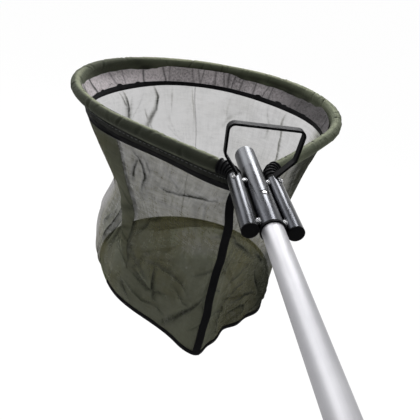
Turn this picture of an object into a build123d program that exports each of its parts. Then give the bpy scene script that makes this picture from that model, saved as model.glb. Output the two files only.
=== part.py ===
"""Landing net: aluminium pole, welded three-tube head, sleeved hoop and hanging mesh bag.

Millimetres. The pole lies along Y with its grip at the origin, the hoop is level and the bag
hangs along -Z. The head's pieces are drawn from the far mouths of its side tubes and moved
out along the pole by head_place.
"""
from build123d import *
import math
import os

# pole, grip and tip
pole_diameter = 25.4
pole_wall = 1.6
pole_length = 900
grip_diameter = 32
grip_length = 150
grip_chamfer = 2
cap_length = 12
cap_round = 9
plug_flange = 2
spigot_length = 14

# welded head: the side tubes end at y = 0, the socket tube runs on past them
mouth_y = 870
socket_diameter = 28.6
socket_wall = 1.3
socket_near = -105
socket_far = 72
side_diameter = 20
side_wall = 1.3
side_offset = 26
side_length = 108
socket_rim_round = 0.6
bush_flange = 3
bush_lip = 0.5
bush_spigot = 20
running_gap = 0.08
side_plug_flange = 2.5
side_plug_round = 1.2
side_plug_spigot = 22
bead_radius = 3.2
bead_length = 9
bead_height = 4

# spring clip that locks the socket to the pole
button_y = -50
button_radius = 4.2
button_round = 2.2
button_top = 14.7
hole_radius = 5.1
clip_width = 8
clip_strip = 0.8
clip_length = 42
clip_toe = 4
clip_drop = 1.9

# bent flat bar over the far end of the socket
bar_width = 10
bar_thickness = 3
bar_y = -0.4
bar_corner_radius = 8

# hoop: a bend out of each side tube, then an arm, a side, a shoulder and the bow
rod_diameter = 12.7
rod_wall = 1.2
rod_end = -94
bend_radius = 34
arm_start = (40.3, 36.6)
arm_heading = 40.1
hoop_arcs = [(1989, 5.1), (277.4, 23.5), (180.5, 85.4)]
hoop_yaw = 4

# sleeve, band and tape at the rim
sleeve_radius = 9.5
sleeve_bore = 6.6
fin_thickness = 2
boot_radius = 9.2
boot_rib_radius = 10.8
boot_rib_width = 2.4
boot_rib_round = 0.9
boot_ribs = 5
boot_spigot = 18
band_top = -17
tape_top = -31
tape_bottom = -43

# the cloth's sections have a front point, 8 points up each side and a rear point. At the rim
# those are these shares of the way from a side tube to the rear of the hoop.
rim_shares = [0.01, 0.14, 0.28, 0.40, 0.52, 0.66, 0.785, 0.90]
# how far inside the hoop the cloth is at band_top, and at tape_bottom for each share
fin_inset = 8
tape_insets = [19, 23, 18, 14, 24, 38, 36, 24]
tape_rear_inset = 21
fin_front = (-3, 30)
tape_front = (-11, 42)

# below the rim they are these shares of half the width and of the depth, on the right
outline = [
    (0.20, 0.080), (0.48, 0.200), (0.77, 0.325), (0.94, 0.475),
    (1.00, 0.645), (0.87, 0.822), (0.60, 0.930), (0.29, 0.985),
]
# height: half width, depth, yaw, front point's x, sway of the whole level, front point's y
bag_levels = {
    -100: (200, 416, 4, -14, 0, 31),
    -160: (177, 400, 3, -18, 0, 27),
    -235: (188, 391, 2, -5, -18, 19),
    -300: (192, 395, 1, 3, -27, 11),
    -355: (190, 400, 0, 6, -32, 4),
}
bag_bottom = -355
bag_thickness = 1.2
tape_thickness = 1.6
seam_width = 11
tape_proud = 1
binding_height = 8
binding_width = 4
binding_split = 128
seam_x = -22
bag_size = 600

pole_radius = pole_diameter / 2
pole_bore = pole_radius - pole_wall
grip_radius = grip_diameter / 2
socket_radius = socket_diameter / 2
socket_bore = socket_radius - socket_wall
side_radius = side_diameter / 2
side_bore = side_radius - side_wall
rod_radius = rod_diameter / 2
fin_lean = math.degrees(math.atan2(fin_inset, -band_top))
head_place = Location((0, mouth_y, 0))


def along_y(radius, start, end, x=0):
    """A cylinder along Y from start to end."""
    return Plane((x, start, 0), z_dir=(0, 1, 0)) * extrude(Circle(radius), end - start)


def tube_y(outer, inner, start, end, x=0):
    return along_y(outer, start, end, x) - along_y(inner, start, end, x)


# ---------------------------------------------------------------- pole


def make_pole_tube():
    tube = tube_y(pole_radius, pole_bore, 0, pole_length)
    hole = Cylinder(hole_radius, 2 * pole_radius)
    return tube - Pos(0, mouth_y + button_y, pole_radius) * hole


def make_pole_tip_plug():
    flange = along_y(pole_radius, pole_length, pole_length + plug_flange)
    return flange + along_y(pole_bore - running_gap, pole_length - spigot_length, pole_length)


def make_grip():
    grip = tube_y(grip_radius, pole_radius, 0, grip_length)
    front_edges = grip.edges().filter_by(GeomType.CIRCLE).group_by(Axis.Y)[-1]
    return chamfer(front_edges.sort_by(SortBy.RADIUS)[-1], grip_chamfer)


def make_butt_cap():
    dome = along_y(grip_radius, -cap_length, 0)
    dome = fillet(dome.edges().group_by(Axis.Y)[0], cap_round)
    return dome + along_y(pole_bore - running_gap, 0, spigot_length)


def make_snap_clip():
    """One strip bent into a U, with the round-topped button on its upper leg."""
    upper = pole_bore - clip_drop
    lower = clip_strip / 2 - math.sqrt(pole_bore**2 - (clip_width / 2) ** 2)
    front = button_y + button_radius + clip_toe
    back = button_y - clip_length
    bend = (upper - lower) / 2 - 1
    points = [(front, upper), (back, upper), (back, lower), (button_y, lower)]
    strip = Plane.YZ * trace(FilletPolyline(*points, radius=bend), line_width=clip_strip)
    strip = extrude(strip, clip_width / 2, both=True)
    foot = Plane((0, button_y, upper))
    shank = foot * extrude(Circle(button_radius), button_top - upper)
    shank = fillet(shank.edges().group_by(Axis.Z)[-1], button_round)
    return strip + shank


# ---------------------------------------------------------------- welded head


def make_socket_tube():
    tube = tube_y(socket_radius, socket_bore, socket_near, socket_far)
    tube = fillet(tube.edges().group_by(Axis.Y)[-1].sort_by(SortBy.RADIUS)[-1], socket_rim_round)
    hole = Cylinder(hole_radius, socket_diameter)
    return tube - Pos(0, button_y, socket_radius) * hole


def make_socket_bush():
    bore = pole_radius + running_gap
    flange = tube_y(socket_radius + bush_lip, bore, socket_near - bush_flange, socket_near)
    return flange + tube_y(socket_bore, bore, socket_near, socket_near + bush_spigot)


def make_side_tube(side):
    return tube_y(side_radius, side_bore, -side_length, 0, side * side_offset)


def make_tube_plug(side):
    """Plug in the near mouth: its spigot also holds the end of the hoop's rod."""
    flange = along_y(side_radius, -side_length - side_plug_flange, -side_length)
    flange = fillet(flange.edges().group_by(Axis.Y)[0], side_plug_round)
    spigot = along_y(side_bore, -side_length, -side_length + side_plug_spigot)
    plug = flange + spigot - along_y(rod_radius, rod_end, 0)
    return Pos(side * side_offset, 0, 0) * plug


def make_weld_beads():
    """Short beads in the valleys between the tubes, and one at each foot of the bar."""
    bead = along_y(bead_radius, -bead_length / 2, bead_length / 2)
    bead = fillet(bead.edges().filter_by(GeomType.CIRCLE), 0.9 * bead_radius)
    tubes = along_y(socket_radius, socket_near, socket_far)
    for side in (-1, 1):
        tubes += along_y(side_radius, -side_length, 0, side * side_offset)
    valley_x = (socket_radius + side_offset - side_radius) / 2
    foot_y = bar_y - bar_width / 2 - bead_length / 2 + 1
    bar = make_lift_bar()
    beads = []
    for side in (-1, 1):
        for y in (socket_near + bead_length, -bead_length):
            for top in (-1, 1):
                beads.append(Pos(side * valley_x, y, top * bead_height) * bead - tubes)
        foot = Pos(side * (side_offset + bead_length / 2), foot_y, side_radius - bead_radius / 2)
        beads.append(foot * bead - tubes - bar)
    return Compound([largest(bead) for bead in beads])


def largest(shape):
    return shape.solids().sort_by(SortBy.VOLUME)[-1]


def make_lift_bar():
    """Flat bar bent to a five-sided arch, its feet cut to sit on the side tubes."""
    right = [(24.6, 8.4), (45.5, 35), (48, 75)]
    left = [(-x, z) for x, z in reversed(right)]
    line = FilletPolyline(*right, *left, radius=bar_corner_radius)
    arch = Plane.XZ.offset(-bar_y) * trace(line, line_width=bar_thickness)
    arch = extrude(arch, bar_width / 2, both=True)
    for side in (-1, 1):
        arch -= along_y(side_radius, -bar_width, bar_width, side * side_offset)
    return largest(arch)


# ---------------------------------------------------------------- hoop


def heading_vector(degrees):
    return (math.cos(math.radians(degrees)), math.sin(math.radians(degrees)))


def hoop_half():
    """Right half of the hoop from the arm to the rear, as tangent arcs, before the yaw."""
    x, y = arm_start
    heading = arm_heading
    arcs = []
    for radius, turn in hoop_arcs:
        arc = JernArc((x, y), heading_vector(heading), radius, turn)
        arcs.append(arc)
        heading += turn
        x, y = arc.position_at(1).X, arc.position_at(1).Y
    bow_radius = x / heading_vector(heading)[1]
    arcs.append(JernArc((x, y), heading_vector(heading), bow_radius, 180 - heading))
    return arcs


def hoop_bow():
    """Both halves, yawed as a whole."""
    right = hoop_half()
    left = [mirror(arc, Plane.YZ) for arc in right]
    return [(Rot(0, 0, hoop_yaw) * arc).edge() for arc in right + left]


def hoop_leg(side):
    """Straight stub out of a side tube and the bend that meets the arm."""
    yaw = math.radians(hoop_yaw)
    heading = math.radians(arm_heading)
    x, y = side * arm_start[0], arm_start[1]
    arm = (x * math.cos(yaw) - y * math.sin(yaw), x * math.sin(yaw) + y * math.cos(yaw))
    slope = math.tan(heading + side * yaw)
    corner = (side * side_offset, arm[1] - abs(arm[0] - side * side_offset) * slope)
    return FilletPolyline((side * side_offset, 0), corner, arm, radius=bend_radius)


def make_hoop_rod():
    legs = [edge for side in (-1, 1) for edge in hoop_leg(side).edges()]
    stubs = [Line((side * side_offset, rod_end), (side * side_offset, 0)) for side in (-1, 1)]
    path = Wire(legs + hoop_bow() + [stub.edge() for stub in stubs])
    start = Plane((side_offset, rod_end, 0), z_dir=(0, 1, 0))
    if (path.position_at(0) - start.origin).length > 1:
        start = Plane((-side_offset, rod_end, 0), z_dir=(0, 1, 0))
    outer = sweep(start * Circle(rod_radius), path)
    inner = sweep(start * Circle(rod_radius - rod_wall), path)
    return outer - inner


def make_rod_boot(side):
    """Ribbed rubber boot over the rod, from the side tube's mouth round the bend."""
    path = hoop_leg(side)
    start = Plane((side * side_offset, 0, 0), z_dir=(0, 1, 0))
    boot = sweep(start * Circle(boot_radius), path)
    for i in range(boot_ribs):
        place = path.location_at((i + 1.2) / (boot_ribs + 0.4))
        rib = extrude(Circle(boot_rib_radius), boot_rib_width / 2, both=True)
        rib = fillet(rib.edges(), boot_rib_round)
        boot += place * rib
    boot += along_y(side_bore, -boot_spigot, 0, side * side_offset)
    rod = sweep(start * Circle(rod_radius), path)
    return boot - rod - along_y(rod_radius, -boot_spigot, 0, side * side_offset)


def make_rim_sleeve():
    """Fabric tube round the rod, with its seam allowance leaning inwards below it."""
    path = Wire(hoop_bow())
    start = path.position_at(0)
    plane = Plane(start, x_dir=(0, 0, 1), z_dir=path.tangent_at(0))
    middle = Vector(0, tape_front[1] + bag_levels[-100][1] / 2, 0)
    inward = math.copysign(fin_lean, plane.y_dir.dot(middle - start))
    fin_end = math.hypot(fin_inset, band_top) + fin_thickness / 2
    fin = Pos(-(sleeve_bore + fin_end) / 2, 0) * Rectangle(fin_end - sleeve_bore, fin_thickness)
    outer = sweep(plane * (Circle(sleeve_radius) + Rot(0, 0, -inward) * fin), path)
    below_fin = Pos(0, 0, band_top - bag_size / 2) * Box(2 * bag_size, 2 * bag_size, bag_size)
    return outer - sweep(plane * Circle(sleeve_bore), path) - below_fin


# ---------------------------------------------------------------- bag


def rim_points(height, inset):
    """Front point, right points, rear point and left points of a level within the rim."""
    down = (height - band_top) / (tape_bottom - band_top)
    half = Wire([arc.edge() for arc in hoop_half()])
    right = []
    for share, tape_inset in zip(rim_shares, tape_insets):
        across = half.tangent_at(share).rotate(Axis.Z, 90)
        right.append(half.position_at(share) + across * (fin_inset + down * (tape_inset - fin_inset) + inset))
    rear_inset = fin_inset + down * (tape_rear_inset - fin_inset) + inset
    rear = half.position_at(1) - Vector(0, rear_inset, 0)
    left = [Vector(-p.X, p.Y, 0) for p in reversed(right)]
    round_the_hoop = [p.rotate(Axis.Z, hoop_yaw) for p in right + [rear] + left]
    front = Vector(*fin_front) * (1 - down) + Vector(*tape_front) * down + Vector(0, inset, 0)
    return [front] + round_the_hoop


def bag_points(height, inset):
    """The same points for a level of the bag, from its shares of the width and depth."""
    half_width, depth, yaw, front_x, sway, front_y = bag_levels[height]

    def place(u, v):
        flat = Vector(u * (half_width - inset), inset + v * (depth - 2 * inset), 0)
        return flat.rotate(Axis.Z, yaw) + Vector(front_x * (1 - v) ** 2 + sway, front_y, 0)

    right = [place(u, v) for u, v in outline]
    left = [place(-u, v) for u, v in reversed(outline)]
    return [place(0, 0)] + right + [place(0, 1)] + left


def level_points(height, inset=0):
    """Points of a closed section of the cloth, shrunk by inset all round."""
    return bag_points(height, inset) if height in bag_levels else rim_points(height, inset)


def level_outline(height, inset=0):
    return Pos(0, 0, height) * make_face(Spline(level_points(height, inset), periodic=True))


def make_ribbon(heights, thickness):
    """Thin wall through the outlines at the given heights, open at top and bottom."""
    outer = loft([level_outline(height) for height in heights])
    inner = loft([level_outline(height, thickness) for height in heights])
    return outer - inner


def make_bag_wall(side):
    """Half of the wall: its two panels meet under the front seam tape and at the rear."""
    wall = make_ribbon([tape_bottom, *bag_levels], bag_thickness)
    half = Pos(seam_x + side * bag_size / 2, 0, 0) * Box(bag_size, 2 * bag_size, 2 * bag_size)
    return largest(wall & half)


def make_bag_base():
    return extrude(level_outline(bag_bottom), -bag_thickness)


def make_front_seam_tape(panels):
    """Tape down the front of the bag, seated on the two panels that it joins."""
    sections = []
    for height in [tape_bottom, *bag_levels]:
        front = level_points(height)[0]
        strip = Rectangle(seam_width, 2 * tape_thickness)
        sections.append(Pos(front.X, front.Y - tape_proud, height) * strip)
    return largest(loft(sections) - panels)


def make_base_binding(front):
    """Bound seam under the edge of the base: the front stretch or the rear one."""
    ring = level_outline(bag_bottom) - level_outline(bag_bottom, binding_width)
    ring = Pos(0, 0, -bag_thickness) * extrude(ring, -binding_height)
    keep = Pos(0, binding_split + (-1 if front else 1) * bag_size, bag_bottom)
    return ring & keep * Box(2 * bag_size, 2 * bag_size, 4 * binding_height)


wall_left = make_bag_wall(-1)
wall_right = make_bag_wall(1)
pole_parts = {
    "pole_tube": make_pole_tube(),
    "pole_tip_plug": make_pole_tip_plug(),
    "grip": make_grip(),
    "butt_cap": make_butt_cap(),
}
head_parts = {
    "snap_clip": make_snap_clip(),
    "socket_tube": make_socket_tube(),
    "socket_bush": make_socket_bush(),
    "side_tube_left": make_side_tube(-1),
    "side_tube_right": make_side_tube(1),
    "tube_plug_left": make_tube_plug(-1),
    "tube_plug_right": make_tube_plug(1),
    "weld_beads": make_weld_beads(),
    "lift_bar": make_lift_bar(),
    "rod_boot_left": make_rod_boot(-1),
    "rod_boot_right": make_rod_boot(1),
    "hoop_rod": make_hoop_rod(),
    "rim_sleeve": make_rim_sleeve(),
    "mesh_band": make_ribbon([band_top, tape_top], bag_thickness),
    "rim_tape": make_ribbon([tape_top, tape_bottom], tape_thickness),
    "bag_wall_left": wall_left,
    "bag_wall_right": wall_right,
    "bag_base": make_bag_base(),
    "front_seam_tape": make_front_seam_tape(wall_left + wall_right),
    "base_binding_front": make_base_binding(True),
    "base_binding_rear": make_base_binding(False),
}

os.makedirs("parts", exist_ok=True)
for name, shape in pole_parts.items():
    export_step(shape, f"parts/{name}.step")
for name, shape in head_parts.items():
    export_step(head_place * shape, f"parts/{name}.step")
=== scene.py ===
import math

import bpy
import numpy as np
from mathutils import Matrix, Vector


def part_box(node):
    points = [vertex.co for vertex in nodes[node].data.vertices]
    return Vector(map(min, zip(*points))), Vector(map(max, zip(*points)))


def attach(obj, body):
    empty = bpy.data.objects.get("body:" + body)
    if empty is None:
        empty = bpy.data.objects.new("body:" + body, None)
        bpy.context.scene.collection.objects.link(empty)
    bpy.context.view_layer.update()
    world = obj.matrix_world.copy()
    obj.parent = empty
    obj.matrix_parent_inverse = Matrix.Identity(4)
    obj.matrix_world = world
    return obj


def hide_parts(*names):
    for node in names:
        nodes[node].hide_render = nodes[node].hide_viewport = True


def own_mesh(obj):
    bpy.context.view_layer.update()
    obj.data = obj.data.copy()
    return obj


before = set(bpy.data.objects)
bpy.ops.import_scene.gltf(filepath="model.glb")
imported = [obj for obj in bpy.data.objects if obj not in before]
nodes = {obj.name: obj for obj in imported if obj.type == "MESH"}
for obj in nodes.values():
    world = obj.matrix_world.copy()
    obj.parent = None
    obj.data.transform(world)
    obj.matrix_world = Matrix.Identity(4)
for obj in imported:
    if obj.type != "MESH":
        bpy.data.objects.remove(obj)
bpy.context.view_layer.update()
rng = np.random.default_rng(7)

MM = 0.001
# Everything on the head is drawn in millimetres from the far mouths of the side tubes.
MOUTH_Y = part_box("side_tube_left")[1].y

# ---- sizes, as in part.py

ARM_START = (40.3, 36.6)
ARM_HEADING = 40.1
HOOP_ARCS = [(1989, 5.1), (277.4, 23.5), (180.5, 85.4)]
HOOP_YAW = 4
SLEEVE_RADIUS = 9.0
FIN_BOTTOM = -17
TAPE_TOP = -31
TAPE_BOTTOM = -43
BAG_BOTTOM = -355
SEAM_WIDTH = 11
WALL_ROUND = 1180  # cloth round the bag
RIM_ROUND = 1300  # and round the rim

# The cloth's sections have a front point, 8 points up each side and a rear point. At the rim
# they lie inside the hoop, at these shares of its right half.
RIM_SHARES = [0.01, 0.14, 0.28, 0.40, 0.52, 0.66, 0.785, 0.90]
BAND_TOP = -6
FIN_INSET = 8
TAPE_INSETS = [19, 23, 18, 14, 24, 38, 36, 24]
TAPE_REAR_INSET = 21
FIN_FRONT = (-3, 30)
TAPE_FRONT = (-11, 42)

# Below the rim they are these shares of half the width and of the depth, on the right.
OUTLINE = [
    (0.20, 0.080), (0.48, 0.200), (0.77, 0.325), (0.94, 0.475),
    (1.00, 0.645), (0.87, 0.822), (0.60, 0.930), (0.29, 0.985),
]
# height: half width, depth, yaw, front point's x, sway, front point's y
BAG_LEVELS = {
    -100: (200, 416, 4, -14, 0, 31),
    -160: (177, 400, 3, -18, 0, 27),
    -235: (188, 391, 2, -5, -18, 19),
    -300: (192, 395, 1, 3, -27, 11),
    BAG_BOTTOM: (190, 400, 0, 6, -32, 4),
}

# Folds of the wall: a line of (share of the way round, height), half width where it starts and
# where it ends, push out, fullness.
FOLDS = [
    # over the near left side, from the rim and the side pleat
    ([(0.846, -44), (0.862, -66), (0.868, -84), (0.858, -122)], 4, 6, 5, 0.85),
    ([(0.856, -58), (0.850, -80), (0.846, -104)], 3, 6, -4, 0.8),
    ([(0.860, -48), (0.868, -66), (0.877, -86)], 3, 4, 3, 0.6),
    ([(0.877, -86), (0.898, -90), (0.919, -83), (0.937, -75), (0.958, -70), (0.976, -61)], 4, 4, 4, 0.85),
    ([(0.885, -60), (0.905, -74), (0.915, -84)], 3, 4, 3, 0.5),
    ([(0.872, -110), (0.895, -116), (0.930, -106)], 5, 4, 3, 0.45),
    # below, on the left
    ([(0.806, -160), (0.799, -217), (0.783, -269)], 4, 6, 5, 0.85),
    ([(0.818, -175), (0.806, -225), (0.794, -262)], 4, 5, -4, 0.75),
    ([(0.790, -195), (0.770, -235)], 4, 5, 4, 0.6),
    ([(0.775, -262), (0.770, -300), (0.778, -340)], 6, 6, 4, 0.7),
    ([(0.896, -230), (0.899, -270), (0.905, -308)], 4, 7, 5, 0.85),
    ([(0.868, -236), (0.900, -226), (0.935, -232), (0.960, -244)], 6, 8, 5, 0.6),
    ([(0.862, -262), (0.890, -292), (0.925, -280)], 6, 5, -5, 0.55),
    ([(0.998, -229), (0.975, -262), (0.951, -295), (0.920, -348)], 4, 8, 6, 0.9),
    ([(0.850, -296), (0.884, -318), (0.915, -310)], 5, 7, 5, 0.55),
    ([(0.930, -250), (0.952, -268), (0.985, -262)], 6, 5, 4, 0.45),
    # right of the front seam
    ([(0.015, -110), (0.038, -140), (0.058, -157), (0.088, -189), (0.122, -228)], 4, 6, 5, 0.95),
    ([(0.020, -90), (0.050, -122), (0.085, -150)], 4, 4, 3, 0.5),
    ([(0.107, -197), (0.125, -222), (0.141, -249)], 6, 8, 7, 0.95),
    ([(0.141, -249), (0.158, -290), (0.165, -332)], 9, 11, 8, 1.0),
    ([(0.122, -240), (0.138, -290), (0.148, -335)], 5, 7, -6, 0.9),
    ([(0.172, -348), (0.150, -322), (0.133, -335), (0.112, -352)], 6, 7, 6, 0.95),
    ([(0.145, -306), (0.105, -288), (0.070, -300)], 7, 5, 6, 0.8),
    ([(0.138, -322), (0.100, -316), (0.056, -338)], 6, 5, -5, 0.8),
    ([(0.128, -296), (0.110, -320), (0.088, -350)], 5, 6, 5, 0.7),
    ([(0.060, -250), (0.042, -300), (0.050, -345)], 6, 6, 5, 0.65),
    ([(0.120, -255), (0.085, -262), (0.050, -282), (0.020, -278)], 5, 4, 4, 0.7),
    ([(0.115, -225), (0.080, -232), (0.040, -250)], 4, 4, 3, 0.5),
    # behind, seen through the mouth
    ([(0.646, -44), (0.641, -72), (0.636, -110)], 2.5, 9, -5, 0.8),
    ([(0.655, -46), (0.648, -64), (0.638, -80)], 2.5, 3, -3, 0.5),
    ([(0.630, -60), (0.636, -104), (0.632, -140)], 5, 7, 4, 0.4),
    ([(0.581, -44), (0.576, -62), (0.583, -84), (0.611, -122)], 2.5, 9, -5, 0.8),
    ([(0.604, -84), (0.597, -124)], 3, 4, 3, 0.35),
    ([(0.545, -46), (0.552, -90)], 4, 3, -3, 0.2),
    ([(0.506, -44), (0.502, -108)], 3, 4, -3, 0.3),
    ([(0.430, -46), (0.436, -100)], 5, 4, -3, 0.2),
    ([(0.400, -70), (0.430, -92), (0.445, -120)], 8, 6, 4, 0.18),
    ([(0.322, -46), (0.326, -72), (0.325, -107), (0.317, -137), (0.324, -165)], 4, 5, -4, 0.6),
    ([(0.360, -46), (0.352, -80), (0.356, -120)], 5, 5, 3, 0.3),
]

# The pleat down the left side: height, share of its left and of its right edge. The cloth in it
# goes forward, back and forward again: share of its width, where that cloth lies, and its lift.
SIDE_PLEAT = [
    (-42, 0.765, 0.835), (-104, 0.780, 0.841), (-169, 0.795, 0.842),
    (-210, 0.826, 0.847), (-275, 0.852, 0.862),
]
PLEAT_FOLDED = ([0, 0.42, 0.70, 1], [0, 1.0, 0.12, 1.0])
PLEAT_LIFT = ([0, 0.10, 0.42, 0.56, 0.70, 0.9, 1], [0, 3.5, 4.5, 3.0, 1.6, 0.8, 0])

# How far the rear seam's allowance reaches in over the base: share of the way round, share of
# the way in.
ALLOWANCE = ([0.2, 0.36, 0.405, 0.45, 0.51, 0.575, 0.62, 0.65, 0.7, 0.8],
             [0.02, 0.03, 0.03, 0.13, 0.21, 0.23, 0.15, 0.07, 0.05, 0.02])

# Sideways sway of the front tape: depth, sway.
TAPE_SWAY = ([37, 80, 110, 160, 215, 265, 310, 355], [0, 0.4, 2.4, 5.5, 3.6, 5.5, 3.0, 0])

SMALL_FOLDS = 70
BASE_WRINKLES = 34
DIP_SHARE = 0.045  # half the stretch of the band that the pole passes over


# ---- curves

def smooth_step(x):
    """0 below 0, 1 above 1, and a smooth rise between."""
    x = np.clip(x, 0, 1)
    return x * x * (3 - 2 * x)


def bell(x):
    """1 at 0, falling away to 0 on both sides."""
    return np.exp(-(x**2))


def waves(share, count, shift=0.0):
    """A sine with count waves in the whole way round the bag."""
    return np.sin(share * 2 * math.pi * count + shift)


def share_from(share, middle):
    """How far a share is from another the short way round, from -0.5 to 0.5."""
    return np.mod(share - middle + 0.5, 1) - 0.5


def angle_from(a, middle):
    """How far an angle is from another the short way round, from -pi to pi."""
    return np.angle(np.exp(1j * (a - middle)))


def bump_at(share, middle, wide):
    """1 at a share of the way round, falling away to 0 over wide on both sides."""
    return bell(share_from(share, middle) / wide)


def closed_spline(points, steps):
    """The smooth closed curve through the points, with steps points from each to the next."""
    p = np.array(points, float)
    n = len(p)
    step = np.linalg.norm(np.roll(p, -1, 0) - p, axis=1)
    system = np.zeros((n, n))
    for i in range(n):
        system[i, i - 1] += step[i - 1]
        system[i, i] += 2 * (step[i - 1] + step[i])
        system[i, (i + 1) % n] += step[i]
    slope = (np.roll(p, -1, 0) - p) / step[:, None]
    bend = np.linalg.solve(system, 6 * (slope - np.roll(slope, 1, 0)))
    b = np.linspace(0, 1, steps, endpoint=False)[:, None]
    a = 1 - b
    runs = []
    for i in range(n):
        j = (i + 1) % n
        curve = ((a**3 - a) * bend[i] + (b**3 - b) * bend[j]) * step[i] ** 2 / 6
        runs.append(a * p[i] + b * p[j] + curve)
    return np.concatenate(runs)


def evenly(line, count):
    """count points evenly spaced along a polyline."""
    along = np.concatenate([[0], np.cumsum(np.linalg.norm(np.diff(line, axis=0), axis=1))])
    at = np.linspace(0, along[-1], count)
    return np.stack([np.interp(at, along, line[:, k]) for k in range(line.shape[1])], axis=1)


def turned(xy, degrees):
    """Points of a plan, turned about the origin."""
    c, s = math.cos(math.radians(degrees)), math.sin(math.radians(degrees))
    return np.stack([xy[..., 0] * c - xy[..., 1] * s, xy[..., 0] * s + xy[..., 1] * c], axis=-1)


def hoop_half(count):
    """Right half of the rod's centreline before its yaw, from the arm to the rear."""
    x, y = ARM_START
    heading = math.radians(ARM_HEADING)
    runs = []
    for radius, turn in HOOP_ARCS + [(None, None)]:
        if radius is None:
            radius, turn = x / math.sin(heading), math.pi - heading
        else:
            turn = math.radians(turn)
        a = np.linspace(0, turn, 200)
        middle = (x - radius * math.sin(heading), y + radius * math.cos(heading))
        spoke = np.stack([np.sin(heading + a), -np.cos(heading + a)], axis=1)
        runs.append(middle + radius * spoke)
        heading += turn
        x, y = runs[-1][-1]
    return evenly(np.concatenate(runs), count)


def hoop_line(count):
    """The whole centreline, from the left arm round the rear to the right arm."""
    right = hoop_half(count)
    return evenly(turned(np.concatenate([right * (-1, 1), right[::-1]]), HOOP_YAW), count)


# ---- bag surface

STEPS = 40  # points of the dense sections from one of their own points to the next


def rim_points(height):
    """A section of the cloth within the rim: front, right side, rear and left side."""
    down = (height - FIN_BOTTOM) / (TAPE_BOTTOM - FIN_BOTTOM)
    half = hoop_half(1001)
    insets = [FIN_INSET + down * (x - FIN_INSET) for x in TAPE_INSETS + [TAPE_REAR_INSET]]
    right = []
    for share, inset in zip(RIM_SHARES + [0.9999], insets):
        i = round(share * 1000)
        along = half[min(i + 1, 1000)] - half[i - 1]
        along /= np.linalg.norm(along)
        right.append(half[i] + inset * np.array([-along[1], along[0]]))
    right[-1][0] = 0
    left = [p * (-1, 1) for p in reversed(right[:-1])]
    front = np.array(FIN_FRONT) * (1 - down) + np.array(TAPE_FRONT) * down
    return np.concatenate([[front], turned(np.array(right + left), HOOP_YAW)])


def bag_points(height):
    """The same for a section of the bag below the rim."""
    half_width, depth, yaw, front_x, sway, front_y = BAG_LEVELS[height]
    shares = [(0, 0)] + OUTLINE + [(0, 1)] + [(-u, v) for u, v in reversed(OUTLINE)]
    uv = np.array(shares, float)
    flat = turned(uv * (half_width, depth), yaw)
    return flat + np.stack([front_x * (1 - uv[:, 1]) ** 2 + sway, np.full(len(uv), float(front_y))], axis=1)


RIM_HEIGHTS = [BAND_TOP, FIN_BOTTOM, TAPE_TOP, TAPE_BOTTOM]
DEPTHS = -np.array(RIM_HEIGHTS + list(BAG_LEVELS), float)
SECTIONS = np.array(
    [closed_spline(rim_points(z), STEPS) for z in RIM_HEIGHTS]
    + [closed_spline(bag_points(z), STEPS) for z in BAG_LEVELS])
SLOPES = np.gradient(SECTIONS, DEPTHS, axis=0)


def bag_plan(share, height):
    """x and y of the bag's wall at a share of the way round, from the front by the right, and a height."""
    share, height = np.broadcast_arrays(np.asarray(share, float), np.asarray(height, float))
    depth = np.clip(-height, DEPTHS[0], DEPTHS[-1])
    i = np.clip(np.searchsorted(DEPTHS, depth) - 1, 0, len(DEPTHS) - 2)
    gap = (DEPTHS[i + 1] - DEPTHS[i])[..., None]
    t = (depth - DEPTHS[i])[..., None] / gap
    count = SECTIONS.shape[1]
    at = np.mod(share, 1) * count
    j = at.astype(int) % count
    f = (at - np.floor(at))[..., None]
    k = (j + 1) % count

    def around(table, level):
        return table[level, j] * (1 - f) + table[level, k] * f

    return (
        around(SECTIONS, i) * (2 * t**3 - 3 * t**2 + 1) + around(SLOPES, i) * gap * (t**3 - 2 * t**2 + t)
        + around(SECTIONS, i + 1) * (3 * t**2 - 2 * t**3) + around(SLOPES, i + 1) * gap * (t**3 - t**2)
    )


def bag_wall(share, height, out=0.0):
    """Points of the wall, moved outwards by out."""
    share, height, out = np.broadcast_arrays(
        np.asarray(share, float), np.asarray(height, float), np.asarray(out, float))
    xy = bag_plan(share, height)
    along = bag_plan(share + 0.004, height) - bag_plan(share - 0.004, height)
    normal = np.stack([along[..., 1], -along[..., 0]], axis=-1)
    normal /= np.linalg.norm(normal, axis=-1, keepdims=True)
    return np.concatenate([xy + normal * out[..., None], height[..., None]], axis=-1)


# ---- meshes

def to_frame(points):
    """Head millimetres to the shared frame in metres."""
    return np.asarray(points, float) * MM + (0, MOUTH_Y, 0)


def linked(name, data):
    """A new object with this mesh, lamp or camera, in the scene."""
    obj = bpy.data.objects.new(name, data)
    bpy.context.scene.collection.objects.link(obj)
    return obj


def smooth_mesh(name, verts, faces):
    mesh = bpy.data.meshes.new(name)
    mesh.from_pydata([tuple(v) for v in verts], [], faces)
    mesh.shade_smooth()
    return mesh


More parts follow.
